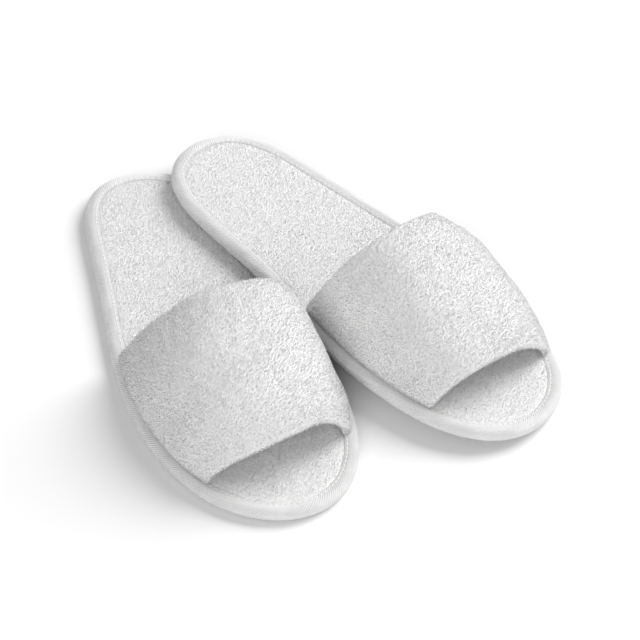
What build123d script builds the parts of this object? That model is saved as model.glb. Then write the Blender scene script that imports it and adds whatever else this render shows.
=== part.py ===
"""Pair of open-toe terry spa slippers, in millimetres, +Z up, toes towards -Y.

The right-foot slipper lies flat on the floor. The left-foot slipper is turned outwards
and its heel lies on the right one's heel, so it leans a few degrees.
"""
from build123d import *
from math import cos, sin, pi, radians
import os

os.makedirs("parts", exist_ok=True)

# Sole, seen from above: (outwards from the foot's midline, towards the toe)
outline = [
    (-6.1, 145.0), (15.2, 139.5), (34.7, 122.0), (49.4, 88.4), (54.4, 36.6), (46.4, -24.7),
    (35.1, -94.0), (26.6, -126.6), (15.0, -140.4), (-1.0, -145.0), (-22.5, -138.8), (-37.0, -124.0),
    (-45.4, -95.2), (-46.6, -40.4), (-53.6, 27.6), (-51.7, 87.1), (-39.4, 124.2), (-23.7, 140.2),
]

# Heights of the layers in the sole
outsole_top = 4.2
foam_top = 5.8
seam_top = 6.6          # insole squeezed under the tape
insole_top = 8.0
tape_bottom = 0.3
tape_top = 8.4
tape_thickness = 0.9
tape_side = 2.0         # tape and its turned edge around the rim
tape_reach = 7.5        # how far the folded tape covers the sole
groove = 1.1            # between the tape and the raised insole
gap = 0.1
thread_width = 0.6
thread_rise = 0.15      # stitches stand this high on the tape
stitch_count = 240
thread_inset = 5.4
grip_pitch = 7.0
grip_width = 1.6
grip_depth = 0.5

# Upper: layers from outside to inside, and the folded edge
upper_base = 8.5
upper_inset = 6.6
terry = 2.2
foam = 2.0
lining = 0.8
layer_gap = 0.06
hem = 2.6
hem_seam = 6.0
stations = [-13.0, 22.0, 57.0, 92.0, 127.0]

# Per foot: mirror sign, rear and front edge (outer side, inner side, forward sweep),
# arch heights at 0, 55 and 110 mm, arch exponents across and up, lean of the crown
feet = {
    "right": dict(sign=-1, rear=(4.5, 1.5, 23.0), front=(111.4, 104.9, 10.7),
                  rise=(44.0, 53.0, 33.0), across=0.83, up=0.86, lean=6.0),
    "left": dict(sign=1, rear=(0.0, 9.0, 26.0), front=(104.9, 107.9, 10.7),
                 rise=(51.0, 50.5, 29.5), across=0.82, up=0.95, lean=1.5),
}

# Resting places: centre of each sole, turn about +Z, and the normal of the sole
centre = {"right": (-56.15, -3.72, 0.0), "left": (36.15, 9.53, 5.35)}
splay = {"right": 0.0, "left": 17.76}
normal = {"right": (0.0, 0.0, 1.0), "left": (0.0837, 0.0057, 1.0)}

edge = Spline(*outline, periodic=True)
dense = [(p.X, p.Y) for p in (edge @ (i / 720) for i in range(720))]


def rim(sign, inset, count=20):
    """Points of the sole outline moved inwards."""
    points = []
    for i in range(count):
        p = edge @ (i / count)
        d = edge % (i / count)
        points.append((sign * (p.X + d.Y * inset), -(p.Y - d.X * inset)))
    return points


def half_width(v, side):
    """Outline's distance from the midline at a station; side is 1 outwards, -1 inwards."""
    return min((abs(y - v), side * x) for x, y in dense if side * x > 0)[1]


def crown(foot, v, t):
    """Plan position across the upper at angle t of the arch, before it is mirrored."""
    outer = half_width(v, 1) - upper_inset
    inner = -half_width(v, -1) + upper_inset
    reach = abs(cos(t)) ** foot["across"] * (1 if cos(t) > 0 else -1)
    return (outer + inner) / 2 + (outer - inner) / 2 * reach - foot["lean"] * sin(t) ** 2


def arch(foot, v, depth, count=8):
    """Points across the upper at a station, a given depth below its outer face."""
    x = v / 55
    low, mid, high = foot["rise"]
    rise = low * (1 - x) * (2 - x) / 2 + mid * x * (2 - x) + high * x * (x - 1) / 2
    height = lambda t: upper_base + rise * max(sin(t), 0.0) ** foot["up"]
    points = []
    for i in range(count + 1):
        t = pi * i / count
        a, b = max(t - 0.02, 0.0), min(t + 0.02, pi)
        du = crown(foot, v, b) - crown(foot, v, a)
        dz = height(b) - height(a)
        if i in (0, count):
            du = 0.0
        size = (du * du + dz * dz) ** 0.5
        u = crown(foot, v, t) + depth * dz / size * (-1)
        z = height(t) + depth * du / size
        points.append((foot["sign"] * u, z))
    return points


def edge_line(foot, which, shift):
    """Plan curve of the upper's rear or front edge, moved into the upper by shift."""
    outer, inner, forward = foot[which]
    move = shift if which == "rear" else -shift
    points = []
    for i in range(13):
        t = pi * i / 12
        v = outer + (inner - outer) * (1 - cos(t)) / 2 + forward * sin(t) + move
        points.append((foot["sign"] * crown(foot, v, t), -v))
    return points


def slab(sign, inset, low, high):
    with BuildPart() as body:
        with BuildSketch(Plane.XY.offset(low)):
            with BuildLine():
                Spline(*rim(sign, inset), periodic=True)
            make_face()
        extrude(amount=high - low)
    return body.part


def band(foot, shift):
    """Upright prism over the upper's plan, its rear and front edges moved in by shift."""
    rear = edge_line(foot, "rear", shift)
    front = edge_line(foot, "front", shift)
    wide = foot["sign"] * 90.0
    with BuildPart() as body:
        with BuildSketch(Plane.XY):
            with BuildLine():
                Spline(*rear)
                Polyline(rear[-1], (-wide, rear[-1][1]), (-wide, front[-1][1]), front[-1])
                Spline(*front)
                Polyline(front[0], (wide, front[0][1]), (wide, rear[0][1]), rear[0])
            make_face()
        extrude(amount=95.0)
    return body.part


def shell(foot, outside, inside):
    """Arch between two depths below the upper's outer face, longer than the upper."""
    with BuildPart() as body:
        for v in stations:
            top = arch(foot, v, outside)
            under = arch(foot, v, inside)
            with BuildSketch(Plane.XZ.offset(v)):
                with BuildLine():
                    Spline(*top)
                    Line(top[-1], under[-1])
                    Spline(*under)
                    Line(under[0], top[0])
                make_face()
        loft()
    return body.part


def make_outsole(foot):
    sign = foot["sign"]
    with BuildPart() as outsole:
        with BuildSketch(Plane.XY.offset(tape_bottom + tape_thickness + gap)):
            with BuildLine():
                Spline(*rim(sign, tape_side + gap), periodic=True)
            make_face()
        extrude(amount=outsole_top - tape_bottom - tape_thickness - gap)
        with BuildSketch(Plane.XY):
            with BuildLine():
                Spline(*rim(sign, tape_reach + gap), periodic=True)
            make_face()
        extrude(amount=outsole_top)
        with BuildSketch(Plane.XY):
            for first, last in ((-15, -7), (1, 14)):
                for i in range(first, last + 1):
                    with Locations((0, -i * grip_pitch)):
                        Rectangle(52.0, grip_width)
        extrude(amount=grip_depth, mode=Mode.SUBTRACT)
    return outsole.part


def make_foam(foot):
    sign = foot["sign"]
    with BuildPart() as midsole_foam:
        add(slab(sign, tape_side + gap, outsole_top, foam_top))
    return midsole_foam.part


def make_insole(foot):
    sign = foot["sign"]
    with BuildPart() as insole_terry:
        with BuildSketch(Plane.XY.offset(foam_top)):
            with BuildLine():
                Spline(*rim(sign, tape_side + gap), periodic=True)
            make_face()
        extrude(amount=seam_top - foam_top)
        with BuildSketch(Plane.XY.offset(foam_top)):
            with BuildLine():
                Spline(*rim(sign, tape_reach + groove), periodic=True)
            make_face()
        extrude(amount=insole_top - foam_top)
    return insole_terry.part


def make_binding(foot):
    sign = foot["sign"]
    full = tape_top - tape_bottom
    with BuildPart() as cavity:
        add(slab(sign, tape_side, tape_bottom + tape_thickness, tape_top - tape_thickness))
    with BuildPart() as edge_binding:
        add(slab(sign, 0.0, tape_bottom, tape_top))
        rings = edge_binding.edges().sort_by(Axis.Z)
        fillet([rings[0], rings[-1]], radius=full * 0.4)
        add(cavity.part, mode=Mode.SUBTRACT)
        add(slab(sign, tape_reach, 0.0, tape_top + 1.0), mode=Mode.SUBTRACT)
    return edge_binding.part


def make_thread(foot, low, high):
    """Closed seam, straight from one needle hole to the next."""
    sign = foot["sign"]
    with BuildPart() as ring:
        with BuildSketch(Plane.XY.offset(low)):
            with BuildLine():
                Polyline(*rim(sign, thread_inset, stitch_count), close=True)
            make_face()
            with BuildLine():
                Polyline(*rim(sign, thread_inset + thread_width, stitch_count), close=True)
            make_face(mode=Mode.SUBTRACT)
        extrude(amount=high - low)
    return ring.part


def make_upper(foot):
    sign = foot["sign"]
    deep = terry + foam + lining + 2 * layer_gap
    with BuildPart() as pocket:
        add(shell(foot, terry, deep + 3.0))
        add(band(foot, hem), mode=Mode.INTERSECT)
    with BuildPart() as allowance:
        add(slab(sign, tape_side + 1.0, seam_top + 0.05, tape_top - tape_thickness - 0.05))
        add(slab(sign, tape_reach + gap, seam_top + 0.05, upper_base + 0.7))
        add(slab(sign, tape_reach + groove - gap, seam_top - 1, upper_base + 2), mode=Mode.SUBTRACT)
        add(band(foot, 0.5), mode=Mode.INTERSECT)
    with BuildPart() as upper_terry:
        add(shell(foot, 0.0, deep))
        add(band(foot, 0.0), mode=Mode.INTERSECT)
        add(pocket.part, mode=Mode.SUBTRACT)
        add(allowance.part)
    return upper_terry.part


def make_layer(foot, outside, inside, shift):
    with BuildPart() as layer:
        add(shell(foot, outside, inside))
        add(band(foot, shift), mode=Mode.INTERSECT)
    return layer.part


def make_hem_thread(foot, which):
    """Seam that holds the folded edge, lying on the lining."""
    deep = terry + foam + lining + 3 * layer_gap + 0.9
    outer, inner, forward = foot[which]
    shift = hem_seam if which == "rear" else -hem_seam
    points = []
    for i in range(1, 12):
        t = pi * i / 12
        v = outer + (inner - outer) * (1 - cos(t)) / 2 + forward * sin(t) + shift
        x, z = arch(foot, v, deep, 12)[i]
        points.append((x, -v, z))
    with BuildPart() as thread:
        with BuildLine() as path:
            Spline(*points)
        with BuildSketch(Plane(origin=path.line @ 0, z_dir=path.line % 0)):
            Circle(thread_width / 2)
        sweep(path=path.line)
    return thread.part


for name, foot in feet.items():
    pose = Plane(origin=centre[name], z_dir=normal[name],
                 x_dir=(cos(radians(splay[name])), sin(radians(splay[name])), 0)).location
    layers = [terry + layer_gap, terry + foam, terry + foam + layer_gap,
              terry + foam + lining + layer_gap]
    pieces = {
        "outsole": make_outsole(foot),
        "midsole_foam": make_foam(foot),
        "insole_terry": make_insole(foot),
        "edge_binding": make_binding(foot),
        "binding_thread": make_thread(foot, tape_top, tape_top + thread_rise),
        "bobbin_thread": make_thread(foot, 0.05, tape_bottom),
        "upper_terry": make_upper(foot),
        "upper_foam": make_layer(foot, layers[0], layers[1], hem + 0.1),
        "upper_lining": make_layer(foot, layers[2], layers[3], hem + 0.1),
        "rear_hem_thread": make_hem_thread(foot, "rear"),
        "front_hem_thread": make_hem_thread(foot, "front"),
    }
    for piece, solid in pieces.items():
        placed = pose * solid
        placed.label = f"{name}_{piece}"
        export_step(placed, f"parts/{name}_{piece}.step")
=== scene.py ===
"""Looks for the pair of terry spa slippers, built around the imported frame."""
import math
import bpy
import numpy as np
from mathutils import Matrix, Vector


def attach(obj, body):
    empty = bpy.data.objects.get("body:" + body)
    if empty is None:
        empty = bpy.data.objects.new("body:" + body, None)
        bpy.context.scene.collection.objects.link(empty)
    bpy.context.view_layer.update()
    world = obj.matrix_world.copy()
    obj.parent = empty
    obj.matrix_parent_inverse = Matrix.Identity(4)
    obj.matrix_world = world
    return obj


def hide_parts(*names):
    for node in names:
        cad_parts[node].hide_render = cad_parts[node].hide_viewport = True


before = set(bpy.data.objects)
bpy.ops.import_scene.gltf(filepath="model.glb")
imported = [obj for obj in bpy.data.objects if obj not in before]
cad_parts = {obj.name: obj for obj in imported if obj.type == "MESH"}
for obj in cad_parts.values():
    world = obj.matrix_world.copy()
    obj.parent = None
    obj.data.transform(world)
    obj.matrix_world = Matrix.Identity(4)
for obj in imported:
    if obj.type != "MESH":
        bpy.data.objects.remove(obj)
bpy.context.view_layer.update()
MM = 0.001
TURN = 2 * math.pi

# ---------------------------------------------------------------- sizes, in millimetres
# Foot coordinates: u outwards, v forwards, z up. Insets are measured in from the outline.
OUTLINE = [
    (-6.1, 145.0), (15.2, 139.5), (34.7, 122.0), (49.4, 88.4), (54.4, 36.6), (46.4, -24.7),
    (35.1, -94.0), (26.6, -126.6), (15.0, -140.4), (-1.0, -145.0), (-22.5, -138.8), (-37.0, -124.0),
    (-45.4, -95.2), (-46.6, -40.4), (-53.6, 27.6), (-51.7, 87.1), (-39.4, 124.2), (-23.7, 140.2),
]
RIM_POINTS = 1500
FINE_FACTOR = 3                 # fine rim points for each rim point
SEAM_INSET = 6.1                # the stitches through the tape
UPPER_Z = 8.0                   # foot of the upper's outer face
UPPER_INSET = 6.9
UPPER_SPAN = 104.0              # rear edge to front edge, nominal
UPPER_THICKNESS = 5.0
TERRY_THICKNESS = 2.2
HEM_RADIUS = 1.6
HEM_INSIDE = [(0.0, 3.2), (2.0, 3.9), (4.0, 4.6), (5.5, 4.9), (6.0, 2.6)]   # back from the edge, depth

# rear and front: v of the edge at the outer foot, at the inner foot, and how far its middle bows
# forwards. rise: height of the arch at v = 0, 55 and 110. across, up: how square its section is.
# lean: shift of the crown inwards. tuck: the side (1 outer, -1 inner) that swells most.
FEET = {
    "right": dict(name="right", sign=-1, rear=(4.5, 1.5, 23.0), front=(111.4, 99.5, 12.2),
                  rise=(44.0, 53.3, 31.5), across=0.83, up=0.86, lean=6.0, tuck=-1, swell=2.6,
                  centre=(-56.15, -3.72, 0.0), turn=0.0, normal=(0.0, 0.0, 1.0), seed=11),
    "left": dict(name="left", sign=1, rear=(0.0, 9.0, 26.0), front=(104.9, 107.9, 9.4),
                 rise=(51.0, 50.8, 28.0), across=0.82, up=0.95, lean=1.5, tuck=1, swell=0.5,
                 centre=(36.15, 9.53, 5.35), turn=17.76, normal=(0.0837, 0.0057, 1.0), seed=23),
}


# ---------------------------------------------------------------- outline
def unit(vectors):
    return vectors / np.linalg.norm(vectors, axis=-1)[..., None]


def travelled(points):
    """Length along a path at each of its points."""
    return np.r_[0, np.cumsum(np.linalg.norm(np.diff(points, axis=0), axis=1))]


def closed_spline(points, count, steps=60):
    """Points evenly spaced along a smooth closed curve through the given ones, and its length."""
    p = np.array(points, float)
    n = len(p)
    h = np.linalg.norm(np.roll(p, -1, 0) - p, axis=1)
    a = np.zeros((n, n))
    b = np.zeros((n, 2))
    for i in range(n):
        j, k = (i - 1) % n, (i + 1) % n
        a[i, j] += h[j]
        a[i, i] += 2 * (h[j] + h[i])
        a[i, k] += h[i]
        b[i] = 6 * ((p[k] - p[i]) / h[i] - (p[i] - p[j]) / h[j])
    m = np.linalg.solve(a, b)
    fine = []
    for i in range(n):
        k = (i + 1) % n
        t = np.linspace(0, h[i], steps, endpoint=False)[:, None]
        s = h[i] - t
        fine.append((m[i] * s ** 3 + m[k] * t ** 3) / (6 * h[i])
                    + (p[i] / h[i] - m[i] * h[i] / 6) * s + (p[k] / h[i] - m[k] * h[i] / 6) * t)
    fine = np.vstack(fine)
    ring = np.vstack([fine, fine[:1]])
    s = travelled(ring)
    even = np.linspace(0, s[-1], count, endpoint=False)
    return np.stack([np.interp(even, s, ring[:, k]) for k in (0, 1)], 1), s[-1]


def inward_normals(ring):
    along = unit(np.roll(ring, -1, 0) - np.roll(ring, 1, 0))
    return np.stack([along[:, 1], -along[:, 0]], 1)


def ring_at(ring, index):
    """Values of a closed ring at fractional indices."""
    low = np.floor(index).astype(int)
    part = (index - low)[..., None]
    return ring[low % len(ring)] * (1 - part) + ring[(low + 1) % len(ring)] * part


RIM, RIM_LENGTH = closed_spline(OUTLINE, RIM_POINTS)
INWARD = inward_normals(RIM)
FINE_INDEX = np.arange(RIM_POINTS * FINE_FACTOR) / FINE_FACTOR
FINE_RIM = ring_at(RIM, FINE_INDEX)
FINE_INWARD = ring_at(INWARD, FINE_INDEX)


def half_width(v, which):
    """Distance from the midline to the outline at v; which is 1 outwards, -1 inwards."""
    r = RIM[RIM[:, 0] * which > 0]
    order = np.argsort(r[:, 1])
    return np.interp(v, r[order, 1], np.abs(r[order, 0]))


def inside_outline(points, inset, stride=3, chunk=4000):
    """Signed distance inside the outline, less the inset, for a set of plan points."""
    rim, inward = RIM[::stride], INWARD[::stride]
    out = np.empty(len(points))
    for i in range(0, len(points), chunk):
        q = points[i:i + chunk]
        d = q[:, None] - rim[None]
        k = (d ** 2).sum(2).argmin(1)
        out[i:i + chunk] = (d[np.arange(len(q)), k] * inward[k]).sum(1)
    return out - inset


# ---------------------------------------------------------------- placing and meshes
def place(foot, p):
    """Foot coordinates in mm to the row frame in metres."""
    n = unit(np.array(foot["normal"]))
    a = math.radians(foot["turn"])
    x = np.array([math.cos(a), math.sin(a), 0.0])
    x = unit(x - n * (x @ n))
    axes = np.stack([x, np.cross(n, x), n], 1)
    q = np.stack([foot["sign"] * p[:, 0], -p[:, 1], p[:, 2]], 1)
    return (q @ axes.T + np.array(foot["centre"])) * MM


def mesh_piece(name, foot, p, quads, material, node):
    """A mesh of quads that stands for one CAD node and rides on the foot's body."""
    w = place(foot, p)
    quads = np.asarray(quads, np.int64).reshape(-1, 4)
    if foot["sign"] > 0:
        quads = quads[:, ::-1]
    me = bpy.data.meshes.new(name)
    me.vertices.add(len(w))
    me.vertices.foreach_set("co", w.astype(np.float32).ravel())
    me.loops.add(quads.size)
    me.loops.foreach_set("vertex_index", quads.ravel().astype(np.int32))
    me.polygons.add(len(quads))
    me.polygons.foreach_set("loop_start", (np.arange(len(quads)) * 4).astype(np.int32))
    me.polygons.foreach_set("loop_total", np.full(len(quads), 4, np.int32))
    me.polygons.foreach_set("use_smooth", np.ones(len(quads), bool))
    me.update(calc_edges=True)
    me.validate()
    ob = bpy.data.objects.new(name, me)
    bpy.context.scene.collection.objects.link(ob)
    me.materials.append(material)
    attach(ob, foot["name"] + "_slipper")
    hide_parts(foot["name"] + "_" + node)
    return ob


def grid_quads(rows, cols, close_rows=False, close_cols=False):
    """Quads of a rows x cols grid of vertices."""
    r = np.arange(rows if close_rows else rows - 1)
    c = np.arange(cols if close_cols else cols - 1)
    r, c = np.meshgrid(r, c, indexing="ij")
    r2, c2 = (r + 1) % rows, (c + 1) % cols
    q = np.stack([r * cols + c, r * cols + c2, r2 * cols + c2, r2 * cols + c], -1)
    return q.reshape(-1, 4)


def tube_quads(count, steps, sides):
    """Quads of that many open tubes, each of so many rings of vertices."""
    one = grid_quads(steps, sides, close_cols=True)
    return (one[None] + (np.arange(count) * steps * sides)[:, None, None]).reshape(-1, 4)


def wobble(x, y, scale, seed, waves=9, phases=6.28, calm=4.0):
    """Smooth irregular bumps between about -1 and 1, a sum of seeded waves."""
    rng = np.random.default_rng(seed)
    out = np.zeros_like(x)
    for _ in range(waves):
        a = rng.uniform(0, TURN)
        k = TURN / scale * rng.uniform(0.6, 1.7)
        out += np.sin((x * math.cos(a) + y * math.sin(a)) * k + rng.uniform(0, phases))
    return out / calm


# ---------------------------------------------------------------- terry loops
PILE_SPACING = 0.76
PILE_SINK = 0.28                            # a loop's foot starts this far below the cloth
LOOP_SIDES = 3
LOOP_STEPS = (0.04, 0.5, 0.96)              # a loop's points, from one foot to the other
INSOLE_LOOP = dict(height=0.8, width=0.38, radius=0.155)
UPPER_LOOP = dict(height=0.95, width=0.38, radius=0.16)
HEIGHT_SPREAD, WIDTH_SPREAD, RADIUS_SPREAD = (0.7, 1.25), (0.7, 1.3), (0.8, 1.2)
LEAN_SPREAD, SLIDE_SPREAD, TWIST_SPREAD = 0.45, 0.3, 0.5
FOOT_WIDTH, BELLY_WIDTH = 0.6, 0.9          # a loop is wider at the top than at its feet
STEEP = 0.9                                 # cosine past which a normal counts as upright


def loops(base, normal, rng, height, width, radius):
    """One small bent tube of yarn for each base point: vertices and quads."""
    n = len(base)
    a = rng.uniform(0, TURN, n)
    ref = np.where(np.abs(normal[:, 2:3]) < STEEP, [[0.0, 0, 1]], [[1.0, 0, 0]])
    e1 = unit(np.cross(normal, ref))
    e2 = np.cross(normal, e1)
    tang = e1 * np.cos(a)[:, None] + e2 * np.sin(a)[:, None]
    bi = np.cross(normal, tang)
    h = height * rng.uniform(*HEIGHT_SPREAD, n)[:, None]
    w = width * rng.uniform(*WIDTH_SPREAD, n)[:, None]
    lean = rng.normal(0, LEAN_SPREAD, (n, 1))
    slide = rng.normal(0, SLIDE_SPREAD, (n, 1))
    twist = rng.uniform(-TWIST_SPREAD, TWIST_SPREAD, (n, 1))
    path = []
    for t in LOOP_STEPS:
        up = math.sin(math.pi * t)
        path.append(base + tang * w * ((t - 0.5) * (FOOT_WIDTH + BELLY_WIDTH * up))
                    + normal * (h * up - PILE_SINK)
                    + bi * (lean * h * up + twist * w * math.sin(TURN * t))
                    + tang * slide * h * up)
    path = np.stack(path, 1)
    d = unit(np.gradient(path, axis=1))
    s1 = unit(np.cross(d, bi[:, None, :]))
    s2 = np.cross(d, s1)
    phase = rng.uniform(0, TURN, (n, 1, 1))
    r = radius * rng.uniform(*RADIUS_SPREAD, (n, 1, 1))
    rings = [path + (s1 * np.cos(phase + k * TURN / LOOP_SIDES)
                     + s2 * np.sin(phase + k * TURN / LOOP_SIDES)) * r for k in range(LOOP_SIDES)]
    return np.stack(rings, 2).reshape(-1, 3), tube_quads(n, len(LOOP_STEPS), LOOP_SIDES)


# ---------------------------------------------------------------- materials
def principled(name, rough, sheen=0.0, sheen_rough=0.5):
    mat = bpy.data.materials.new(name)
    mat.use_nodes = True
    bsdf = mat.node_tree.nodes["Principled BSDF"]
    bsdf.inputs["Roughness"].default_value = rough
    bsdf.inputs["Specular IOR Level"].default_value = 0.15
    bsdf.inputs["Sheen Weight"].default_value = sheen
    bsdf.inputs["Sheen Roughness"].default_value = sheen_rough
    return mat, mat.node_tree, bsdf


def noise_node(nt, coord, scale, detail):
    noise = nt.nodes.new("ShaderNodeTexNoise")
    noise.inputs["Scale"].default_value = scale
    noise.inputs["Detail"].default_value = detail
    nt.links.new(coord.outputs["Object"], noise.inputs["Vector"])
    return noise


def noise_colour(nt, bsdf, coord, dark, light, scale, detail=3.0):
    noise = noise_node(nt, coord, scale, detail)
    ramp = nt.nodes.new("ShaderNodeValToRGB")
    for element, position, colour in zip(ramp.color_ramp.elements, (0.3, 0.7), (dark, light)):
        element.position = position
        element.color = (*colour, 1)
    nt.links.new(noise.outputs["Fac"], ramp.inputs["Fac"])
    nt.links.new(ramp.outputs["Color"], bsdf.inputs["Base Color"])


def noise_bump(nt, bsdf, coord, scale, strength, distance):
    noise = noise_node(nt, coord, scale, 2.0)
    bump = nt.nodes.new("ShaderNodeBump")
    bump.inputs["Strength"].default_value = strength
    bump.inputs["Distance"].default_value = distance
    nt.links.new(noise.outputs["Fac"], bump.inputs["Height"])
    nt.links.new(bump.outputs["Normal"], bsdf.inputs["Normal"])


def cloth(name, dark, light, rough, grain, bump, sheen=0.0, sheen_rough=0.5, detail=3.0):
    """grain is the scale of the colour noise; bump is the scale, strength and distance of the relief."""
    mat, nt, bsdf = principled(name, rough, sheen, sheen_rough)
    coord = nt.nodes.new("ShaderNodeTexCoord")
    noise_colour(nt, bsdf, coord, dark, light, grain, detail)
    noise_bump(nt, bsdf, coord, *bump)
    return mat


PILE_LOOK = dict(rough=0.95, grain=780.0, bump=(2600.0, 0.35, 0.0002), sheen=0.35, sheen_rough=0.6,
                 detail=4.0)
TERRY = cloth("terry_pile", (0.82, 0.82, 0.82), (1.0, 1.0, 0.997), **PILE_LOOK)
# The insole's pile is the same terry painted about 5% darker: painted shade on the upward-facing insole.
INSOLE = cloth("insole_pile_painted_shade", (0.77, 0.77, 0.77), (0.965, 0.965, 0.962), **PILE_LOOK)
TAPE = cloth("twill_tape", (0.70, 0.70, 0.70), (0.76, 0.76, 0.757), 0.8, 120.0, (3200.0, 0.3, 0.00012), 0.2)
THREAD = cloth("spun_thread", (0.84,) * 3, (0.92,) * 3, 0.6, 900.0, (4000.0, 0.4, 0.0001), 0.2)
LINING = cloth("lining_weave", (0.80,) * 3, (0.87,) * 3, 0.85, 500.0, (1800.0, 0.5, 0.0002), 0.1)
FOAM = cloth("soft_foam", (0.84, 0.84, 0.81), (0.9, 0.9, 0.88), 0.9, 300.0, (1500.0, 0.6, 0.0004))
EVA = cloth("outsole_foam", (0.78, 0.78, 0.77), (0.84, 0.84, 0.83), 0.75, 90.0, (1400.0, 0.35, 0.0003))


# ---------------------------------------------------------------- edge binding
TAPE_FACE = [                               # inset and height, from the top inner edge round to below
    (7.7, 7.35), (7.4, 7.95), (6.9, 8.2), (6.1, 8.18), (5.3, 8.42), (4.2, 8.5), (3.0, 8.4), (1.9, 8.05),
    (0.9, 7.4), (0.25, 6.5), (0.05, 5.7), (0.2, 4.8), (0.5, 3.9), (0.9, 3.0), (1.3, 2.1), (1.7, 1.3),
    (2.5, 0.7), (3.6, 0.42), (5.0, 0.3), (6.2, 0.38), (7.5, 0.3),
]
TAPE_COLUMNS = 28
OUTER_COLUMN = 10                           # a column on the outer side
TAPE_WALL = 0.75
TAPE_INNER_STEP = 4                         # the hidden inner wall needs fewer columns
STITCH_PITCH = 3.6
RIB_PITCH = 1.65
RIB_SLANT = 1.0
RIB_HEIGHT = 0.42
RIB_LEVEL = 0.6                             # puts the ribs' mean near the tape's face
SLACK = 0.16
SLACK_SCALE = 26
HOLE_RADIUS, HOLE_DEPTH = 0.55, 0.35
PULL_WIDTH, PULL_DEPTH = 0.9, 0.15          # the seam draws the tape down along its line
UNDER_WIDTH, UNDER_DEPTH = 0.8, 0.05        # and a little below
TAPE_MIDDLE_Z = 4                           # between the upper and lower runs of the tape
FLAT_Z = 2.0                                # below this the tape lies flat


def smooth_path(points, count, rounds=2):
    """Even points on a path whose corners are cut off twice, and its length."""
    p = np.array(points, float)
    for _ in range(rounds):
        q = [p[0]]
        for a, b in zip(p[:-1], p[1:]):
            q += [0.75 * a + 0.25 * b, 0.25 * a + 0.75 * b]
        q.append(p[-1])
        p = np.array(q)
    s = travelled(p)
    even = np.linspace(0, s[-1], count)
    return np.stack([np.interp(even, s, p[:, k]) for k in (0, 1)], 1), s[-1]


def binding(foot):
    """The ribbed tape; its mesh leans with the ribs. Returns the pitch of the stitches."""
    around = RIM_POINTS * FINE_FACTOR
    face, width = smooth_path(TAPE_FACE, TAPE_COLUMNS)
    d = unit(np.gradient(face, axis=0))
    out = np.stack([-d[:, 1], d[:, 0]], 1)        # leaves the sole
    if out[OUTER_COLUMN, 0] > 0:
        out = -out
    arc = np.linspace(0, width, len(face))
    lane = np.arange(around)[:, None] * RIM_LENGTH / around
    s = lane - arc[None] * RIB_SLANT * foot["sign"]
    ribs = np.abs(np.cos(math.pi * round(RIM_LENGTH / RIB_PITCH) * lane / RIM_LENGTH))
    stitch = RIM_LENGTH / round(RIM_LENGTH / STITCH_PITCH)
    hole = np.exp(-(((s / stitch + 0.5) % 1 - 0.5) * stitch / HOLE_RADIUS) ** 2)
    off_seam = face[:, 0] - SEAM_INSET
    pull = np.exp(-(off_seam / PULL_WIDTH) ** 2)[None] * (face[:, 1] > TAPE_MIDDLE_Z)[None]
    under = np.exp(-(off_seam / UNDER_WIDTH) ** 2)[None] * (face[:, 1] < TAPE_MIDDLE_Z)[None]
    slack = SLACK * wobble(s, 5 * arc[None], SLACK_SCALE, foot["seed"])
    lift = ((ribs - RIB_LEVEL) * RIB_HEIGHT + slack * (1 - pull)
            - HOLE_DEPTH * hole * pull - PULL_DEPTH * pull)
    flat = np.minimum(lift, 0.0) * 0.5 - UNDER_DEPTH * under
    lift = np.where(face[None, :, 1] < FLAT_Z, flat, lift)
    outside = face[None] + out[None] * lift[:, :, None]
    inner = (face - out * TAPE_WALL)[None, ::-TAPE_INNER_STEP] + np.zeros((around, 1, 1))
    ring = np.concatenate([outside, inner], 1)
    at = np.concatenate([s, s[:, ::-TAPE_INNER_STEP]], 1) / RIM_LENGTH * len(FINE_RIM)
    xy = ring_at(FINE_RIM, at) + ring_at(FINE_INWARD, at) * ring[:, :, :1]
    p = np.concatenate([xy, ring[:, :, 1:]], 2).reshape(-1, 3)
    quads = grid_quads(around, ring.shape[1], True, True)
    ob = mesh_piece(foot["name"] + "_binding", foot, p, quads, TAPE, "edge_binding")
    return stitch


STITCH_RADIUS = 0.3
STITCH_TAPER = np.array([0.45, 0.85, 1, 1, 1, 0.85, 0.45])
STITCH_SIDES = 6
STITCH_GAP, STITCH_SHARE = 0.08, 0.84       # of the pitch: the gap before a stitch, and its length
STITCH_ARCH, STITCH_SINK = 0.28, 0.2


def stitches(foot, name, node, z, pitch, flip=1.0):
    """A closed row of short sunk stitches around the rim."""
    count = round(RIM_LENGTH / pitch)
    steps = len(STITCH_TAPER)
    step = RIM_LENGTH / count
    t = np.linspace(0, 1, steps)
    s = (np.arange(count)[:, None] + STITCH_GAP + STITCH_SHARE * t[None]) * step
    index = s / RIM_LENGTH * len(RIM)
    inward = INWARD[np.floor(index).astype(int) % len(RIM)]
    xy = ring_at(RIM, index) + inward * SEAM_INSET
    arch = (np.sin(math.pi * t) ** 0.6)[None]
    height = z + flip * STITCH_ARCH * arch - flip * STITCH_SINK + 0 * s
    path = np.concatenate([xy, height[..., None]], 2)
    across = np.concatenate([inward, 0 * inward[..., :1]], 2)
    angle = (np.arange(STITCH_SIDES) * TURN / STITCH_SIDES)[None, None, :, None]
    ring = path[:, :, None] + (STITCH_RADIUS * STITCH_TAPER)[None, :, None, None] * (
        across[:, :, None] * np.cos(angle) + np.array([0, 0, 1.0]) * np.sin(angle))
    first = (np.arange(count) * steps * STITCH_SIDES)[:, None, None]
    cap = np.array([[0, 1, 2, 3], [0, 3, 4, 5]])
    caps = np.concatenate([first + cap[None, :, ::-1], first + (steps - 1) * STITCH_SIDES + cap[None]], 1)
    quads = np.vstack([tube_quads(count, steps, STITCH_SIDES), caps.reshape(-1, 4)])
    mesh_piece(foot["name"] + name, foot, ring.reshape(-1, 3), quads, THREAD, node)


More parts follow.
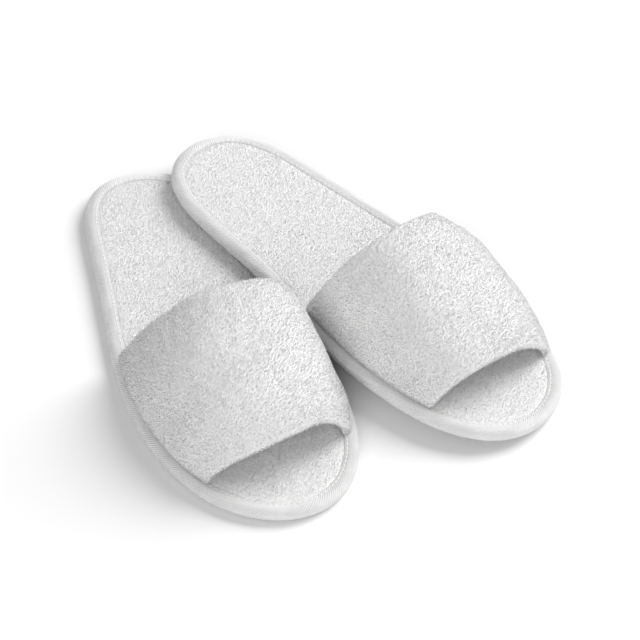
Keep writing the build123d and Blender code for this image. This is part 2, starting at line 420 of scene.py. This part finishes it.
# ---------------------------------------------------------------- insole
INSOLE_EDGE = 7.2
INSOLE_EDGE_Z = 7.25
INSOLE_RISE, INSOLE_RISE_LENGTH = 1.0, 1.6
INSOLE_WAVES = ((0.22, 55), (0.12, 14))     # height and scale
INSOLE_RINGS = np.r_[np.linspace(0, 0.12, 7), np.linspace(0.16, 0.98, 24)]
UNDER_RINGS = (0.3, 0.7, 0.98)
UNDER_EDGE, UNDER_Z, UNDER_RIM_Z = 2.2, 5.85, 6.5
SPINE_U, SPINE_REAR, SPINE_FRONT = -2.0, -98, 100
JITTER = 0.42
SLOPE_STEP = 0.5
ROW_RATIO = 0.87                            # row distance of a triangular grid


def scatter(inset, spacing, rng):
    """Jittered plan points inside the outline, and how far inside they are."""
    gu = np.arange(-60, 60, spacing)
    gv = np.arange(-150, 150, spacing * ROW_RATIO)
    u, v = np.meshgrid(gu, gv)
    u = u + (np.arange(len(gv)) % 2)[:, None] * spacing / 2
    q = np.stack([u.ravel(), v.ravel()], 1) + rng.uniform(-JITTER, JITTER, (u.size, 2)) * spacing
    d = inside_outline(q, inset)
    return q[d > 0], d[d > 0]


def insole_height(u, v, d, seed):
    """Top of the insole's cloth; d is the distance in from the tape's edge."""
    rise = 1 - np.exp(-np.maximum(d, 0) / INSOLE_RISE_LENGTH)
    waves = sum(height * wobble(u, v, scale, seed + k) for k, (height, scale) in enumerate(INSOLE_WAVES))
    return INSOLE_EDGE_Z + (INSOLE_RISE + waves) * rise


def insole(foot):
    rng = np.random.default_rng(foot["seed"] + 100)
    rim, inward = RIM[::3], INWARD[::3]
    n = len(rim)
    spine = np.stack([np.full(n, SPINE_U), np.clip(rim[:, 1], SPINE_REAR, SPINE_FRONT)], 1)
    top_edge, low_edge = rim + inward * INSOLE_EDGE, rim + inward * UNDER_EDGE
    top = []
    for rho in INSOLE_RINGS:
        q = top_edge * (1 - rho) + spine * rho
        d = np.linalg.norm(q - top_edge, axis=1)
        top.append(np.column_stack([q, insole_height(q[:, 0], q[:, 1], d, foot["seed"])]))
    under = [np.column_stack([low_edge, np.full(n, z)]) for z in (UNDER_RIM_Z, UNDER_Z)]
    for rho in UNDER_RINGS:
        under.append(np.column_stack([low_edge * (1 - rho) + spine * rho, np.full(n, UNDER_Z)]))
    sheet = top[::-1] + under
    p = np.vstack(sheet)
    seam = np.array([[k % n, (k + 1) % n, (-k - 1) % n, -k % n] for k in range(n // 2)])
    last = (len(sheet) - 1) * n
    quads = np.vstack([grid_quads(len(sheet), n, close_cols=True), seam[:, ::-1], seam + last])
    q, d = scatter(INSOLE_EDGE + 0.2, PILE_SPACING, rng)
    z = insole_height(q[:, 0], q[:, 1], d, foot["seed"])
    zu = insole_height(q[:, 0] + SLOPE_STEP, q[:, 1], d, foot["seed"])
    zv = insole_height(q[:, 0], q[:, 1] + SLOPE_STEP, d, foot["seed"])
    normal = unit(np.column_stack([(z - zu) / SLOPE_STEP, (z - zv) / SLOPE_STEP, np.ones(len(q))]))
    lv, lq = loops(np.column_stack([q, z]), normal, rng, **INSOLE_LOOP)
    # INSOLE is the terry pile with painted shade.
    ob = mesh_piece(foot["name"] + "_insole", foot, np.vstack([p, lv]), np.vstack([quads, lq + len(p)]),
                    INSOLE, "insole_terry")


# ---------------------------------------------------------------- upper
SIDE_SHARPNESS = 1.6                        # how soon a side's own shape starts away from the crown
REAR_FADE, FRONT_FADE = 2.4, 3.0            # how soon the edges' own shape ends along the upper
REAR_SQUARE = (0.28, 0.12)                  # added to across and up, at the outer side's rear
FRONT_SQUARE = (0.10, 0.05)                 # at the front
TUCKED_SQUARE = (0.24, 0.20)                # more at the front, on the tucked side
SWELL_BASE, SWELL_TUCKED, SWELL_HEIGHT = 1.1, 3.4, 4.0
SWELL_CUT = 0.55                            # share of the tucked side's swell lost at the front edge
PUFFS = ((0.55, 46, 1), (0.25, 15, -1))     # height, scale and skew of the unevenness
PUFF_FOOT, PUFF_ENDS, PUFF_LEAST = 4, 8, 0.3
ARCH_STATION = 55                           # spacing of the three rises
ANGLE_STEP = 0.01
INSIDE_POINT = np.array([0.0, 60.0, 5.0])


def arch_point(foot, v, th, t):
    """Outer face of the upper at station v and arch angle th (arrays of one shape)."""
    c, s = np.cos(th), np.maximum(np.sin(th), 0.0)
    near_rear = np.clip(1 - t * REAR_FADE, 0, 1) ** 2 * np.clip(c * SIDE_SHARPNESS, 0, 1) ** 2
    near_front = np.clip(1 - (1 - t) * FRONT_FADE, 0, 1) ** 2
    tucked = np.clip(c * foot["tuck"] * SIDE_SHARPNESS, 0, 1) ** 2
    open_side = np.clip(-c * foot["tuck"] * SIDE_SHARPNESS, 0, 1) ** 2
    across, up = (foot[key] + REAR_SQUARE[k] * near_rear
                  + (FRONT_SQUARE[k] + TUCKED_SQUARE[k] * tucked) * near_front
                  for k, key in enumerate(("across", "up")))
    outer = half_width(v, 1) - UPPER_INSET
    inner = -half_width(v, -1) + UPPER_INSET
    x = v / ARCH_STATION
    low, mid, high = foot["rise"]
    rise = low * (1 - x) * (2 - x) / 2 + mid * x * (2 - x) + high * x * (x - 1) / 2
    u = (outer + inner) / 2 + (outer - inner) / 2 * np.sign(c) * np.abs(c) ** across - foot["lean"] * s ** 2
    h = rise * s ** up
    grown = np.clip(t * 2.2 - 0.5, 0, 1) * (1 - SWELL_CUT * np.clip(t * 5 - 4, 0, 1))
    swell = (SWELL_BASE + SWELL_TUCKED * tucked * grown
             + foot["swell"] * open_side * (1 - np.clip(t, 0, 1) ** 3))
    u = u + np.sign(c) * swell * (h / SWELL_HEIGHT) * np.exp(1 - h / SWELL_HEIGHT)
    return u, UPPER_Z + h


def edge(ends, th):
    """Station of an edge of the upper at an arch angle."""
    outer, inner, bow = ends
    return outer + (inner - outer) * (1 - np.cos(th)) / 2 + bow * np.sin(th)


def bare_face(foot, t, th):
    rear, front = edge(foot["rear"], th), edge(foot["front"], th)
    v = rear + (front - rear) * t
    u, z = arch_point(foot, v, th, t)
    return np.stack([u, v, z], -1)


def face_at(foot, t, th, depth):
    """Point at t (0 rear edge, 1 front edge), angle th, that far below the outer face, and its normal."""
    low = np.clip(th - ANGLE_STEP, 1e-4, math.pi)
    high = np.clip(th + ANGLE_STEP, 0, math.pi - 1e-4)
    round_it = bare_face(foot, t, high) - bare_face(foot, t, low)
    along = bare_face(foot, t + ANGLE_STEP, th) - bare_face(foot, t - ANGLE_STEP, th)
    n = unit(np.cross(round_it, along))
    p = bare_face(foot, t, th)
    n = n * np.where(((p - INSIDE_POINT) * n).sum(-1) < 0, -1, 1)[..., None]
    puff = sum(height * wobble(p[..., 0] + skew * p[..., 2], p[..., 1], scale, foot["seed"] + 5 + k)
               for k, (height, scale, skew) in enumerate(PUFFS))
    ends = (np.clip(np.sin(th) * PUFF_FOOT, 0, 1)
            * np.clip(np.minimum(t, 1 - t) * PUFF_ENDS, PUFF_LEAST, 1))
    return p + n * (puff * ends)[..., None] - n * depth[..., None], n


ARCH_COLUMNS = 90
SKIN_ROWS, FOLD_ROWS, BACK_ROWS = 64, 9, 12
BACK_START = 10                             # the skin's hidden side starts this far behind a hem
PILE_REACH = 0.9                            # the pile follows the hem this much of its radius round
PILE_MARGIN = 0.002
LAYERS = (                                  # name, node, depth of each side, material, slot
    ("_upper_padding", "upper_foam", TERRY_THICKNESS + 0.05, UPPER_THICKNESS - 0.9, FOAM, "soft_foam"),
    ("_upper_inside", "upper_lining", UPPER_THICKNESS - 0.85, UPPER_THICKNESS - 0.05, LINING,
     "lining_cloth"))
LAYER_START, LAYER_ROWS = 6.1, 40
HEM_SEAM = 4.6                              # behind the hem's round
HEM_SEAM_DEPTH = 4.8
HEM_STITCHES, HEM_STITCH_STEPS, HEM_STITCH_RADIUS = 34, 6, 0.27
HEM_STITCH_START, HEM_STITCH_GAP, HEM_STITCH_DIP = 0.06, 0.1, 0.3


def even_angles(foot, count, samples=800):
    """Arch angles that space points evenly around the upper at mid length, and that length."""
    th = np.linspace(0, math.pi, samples)
    p, _ = face_at(foot, 0.5 + 0 * th, th, 0 * th)
    s = travelled(p)
    return np.interp(np.linspace(0, s[-1], count), s, th), s[-1]


def skin_rows():
    """Distance along the upper and depth of each row of the terry skin, round both hems."""
    r, span = HEM_RADIUS, UPPER_SPAN
    fold = np.linspace(0, math.pi, FOLD_ROWS)[1:-1]
    rows = [(x, 0.0) for x in np.linspace(r, span - r, SKIN_ROWS)]
    rows += [(span - r + r * math.sin(a), r - r * math.cos(a)) for a in fold]
    rows += [(span - r - x, depth) for x, depth in HEM_INSIDE]
    rows += [(x, TERRY_THICKNESS) for x in np.linspace(span - r - BACK_START, r + BACK_START, BACK_ROWS)]
    rows += [(r + x, depth) for x, depth in HEM_INSIDE[::-1]]
    rows += [(r - r * math.sin(a), r - r * math.cos(a)) for a in fold[::-1]]
    return np.array(rows)


def upper_pile(foot, th, girth):
    """Loops over the outer face and round both hems."""
    rng = np.random.default_rng(foot["seed"] + 200)
    r, span = HEM_RADIUS, UPPER_SPAN
    rows, cols = int(span / PILE_SPACING / ROW_RATIO), int(girth / PILE_SPACING)
    i, j = np.meshgrid(np.arange(rows), np.arange(cols), indexing="ij")
    gx = (i + rng.uniform(0.1, 0.9, i.shape)) / rows
    gy = (j + rng.uniform(0.1, 0.9, i.shape) + (i % 2) * 0.5) / cols
    x = gx.ravel() * (span + 2 * r * PILE_REACH) - r * PILE_REACH
    share = np.clip(gy.ravel(), PILE_MARGIN, 1 - PILE_MARGIN)
    angle = np.interp(share * (len(th) - 1), np.arange(len(th)), th)
    over = np.where(x < r, r - x, np.where(x > span - r, x - (span - r), 0.0))
    turn = over / r                             # how far round the hem
    depth = r - r * np.cos(turn)
    bent = r * np.sin(turn)
    along = np.where(x < r, r - bent, np.where(x > span - r, span - r + bent, x)) / span
    base, normal = face_at(foot, along, angle, depth)
    ahead, _ = face_at(foot, np.clip(along + 0.01, 0, 1.05), angle, depth)
    behind, _ = face_at(foot, np.clip(along - 0.01, -0.05, 1), angle, depth)
    outwards = unit(ahead - behind) * np.where(x < r, -1.0, 1.0)[:, None]
    normal = normal * np.cos(turn)[:, None] + outwards * np.sin(turn)[:, None]
    return loops(base, normal, rng, **UPPER_LOOP)


def upper_layer(foot, th, name, node, low, high, material, slot):
    """A closed layer between two depths, from hem to hem."""
    start = HEM_RADIUS + LAYER_START
    xs = np.linspace(start, UPPER_SPAN - start, LAYER_ROWS)
    t, angle = np.meshgrid(xs / UPPER_SPAN, th[2:-2], indexing="ij")
    a, _ = face_at(foot, t, angle, 0 * t + low)
    b, _ = face_at(foot, t, angle, 0 * t + high)
    p = np.concatenate([a, b[::-1]], 0)
    rows, cols = p.shape[:2]
    end = np.array([[i, i + 1, rows - 2 - i, rows - 1 - i] for i in range(LAYER_ROWS - 1)])
    quads = np.vstack([grid_quads(rows, cols, close_rows=True), end[:, ::-1] * cols, end * cols + cols - 1])
    ob = mesh_piece(foot["name"] + name, foot, p.reshape(-1, 3), quads, material, node)


def hem_stitches(foot, th, name, node, x):
    """A row of stitches across the inside of the upper."""
    t = np.linspace(0, 1, HEM_STITCH_STEPS)
    stitch = np.arange(HEM_STITCHES)[:, None] + HEM_STITCH_GAP + (1 - 2 * HEM_STITCH_GAP) * t[None]
    share = HEM_STITCH_START + (1 - 2 * HEM_STITCH_START) * stitch / HEM_STITCHES
    angle = np.interp(share * (len(th) - 1), np.arange(len(th)), th)
    path, normal = face_at(foot, x / UPPER_SPAN + 0 * angle, angle, HEM_SEAM_DEPTH + 0 * angle)
    path = path + normal * ((1 - np.sin(math.pi * t) ** 0.6)[None, :, None] * HEM_STITCH_DIP)
    across = np.cross(unit(np.gradient(path, axis=1)), normal)
    round_it = (np.arange(STITCH_SIDES) * TURN / STITCH_SIDES)[None, None, :, None]
    ring = path[:, :, None] + HEM_STITCH_RADIUS * (
        across[:, :, None] * np.cos(round_it) + normal[:, :, None] * np.sin(round_it))
    quads = tube_quads(HEM_STITCHES, HEM_STITCH_STEPS, STITCH_SIDES)
    mesh_piece(foot["name"] + name, foot, ring.reshape(-1, 3), quads, THREAD, node)


def upper(foot):
    th, girth = even_angles(foot, ARCH_COLUMNS)
    rows = skin_rows()
    t, angle = np.meshgrid(rows[:, 0] / UPPER_SPAN, th, indexing="ij")
    p, _ = face_at(foot, t, angle, np.repeat(rows[:, 1:2], len(th), 1))
    quads = grid_quads(*t.shape, close_rows=True)
    lv, lq = upper_pile(foot, th, girth)
    ob = mesh_piece(foot["name"] + "_upper", foot, np.vstack([p.reshape(-1, 3), lv]),
                    np.vstack([quads, lq + t.size]), TERRY, "upper_terry")
    for layer in LAYERS:
        upper_layer(foot, th, *layer)
    start = HEM_RADIUS + HEM_SEAM
    hem_stitches(foot, th, "_rear_hem_stitches", "rear_hem_thread", start)
    hem_stitches(foot, th, "_front_hem_stitches", "front_hem_thread", UPPER_SPAN - start)


for side, foot in FEET.items():
    pitch = binding(foot)
    stitches(foot, "_binding_stitches", "binding_thread", 8.15, pitch)
    stitches(foot, "_bobbin_stitches", "bobbin_thread", 0.33, pitch, -1.0)
    insole(foot)
    upper(foot)
    for node, material in ((side + "_outsole", EVA), (side + "_midsole_foam", FOAM)):
        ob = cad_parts[node]
        ob.data.materials.clear()
        ob.data.materials.append(material)

# ---------------------------------------------------------------- floor, light, camera
bpy.ops.mesh.primitive_plane_add(size=8.0, location=(0, 0, -0.0001))
floor = bpy.context.object
floor.name = "floor"
floor_material, floor_nodes, floor_bsdf = principled("studio_floor", 0.9)
noise_colour(floor_nodes, floor_bsdf, floor_nodes.nodes.new("ShaderNodeTexCoord"),
             (0.915, 0.915, 0.915), (0.925, 0.925, 0.925), 3.0)
floor.data.materials.append(floor_material)

scene = bpy.context.scene
scene.world = bpy.data.worlds.new("studio")
scene.world.use_nodes = True
background = scene.world.node_tree.nodes["Background"]
background.inputs["Color"].default_value = (1.0, 1.0, 1.0, 1)
background.inputs["Strength"].default_value = 0.32


def aim(ob, position, target):
    ob.location = position
    ob.rotation_euler = (Vector(target) - Vector(position)).to_track_quat("-Z", "Y").to_euler()
    scene.collection.objects.link(ob)


def area_light(name, position, size, power):
    data = bpy.data.lights.new(name, "AREA")
    data.shape = "DISK"
    data.size = size
    data.energy = power
    aim(bpy.data.objects.new(name, data), position, (0, 0, 0))


area_light("key", (2.15, 0.5, 2.15), 2.5, 102.5)
area_light("fill", (-1.35, -2.3, 1.4), 1.8, 37.5)

lens = bpy.data.cameras.new("camera")
lens.lens = 202.5
lens.sensor_width = 36.0
lens.clip_end = 20.0
camera = bpy.data.objects.new("camera", lens)
aim(camera, (-0.47358, -1.38004, 1.21028), (0.00745, -0.00398, 0.0))
scene.camera = camera
scene.view_settings.view_transform = "Standard"
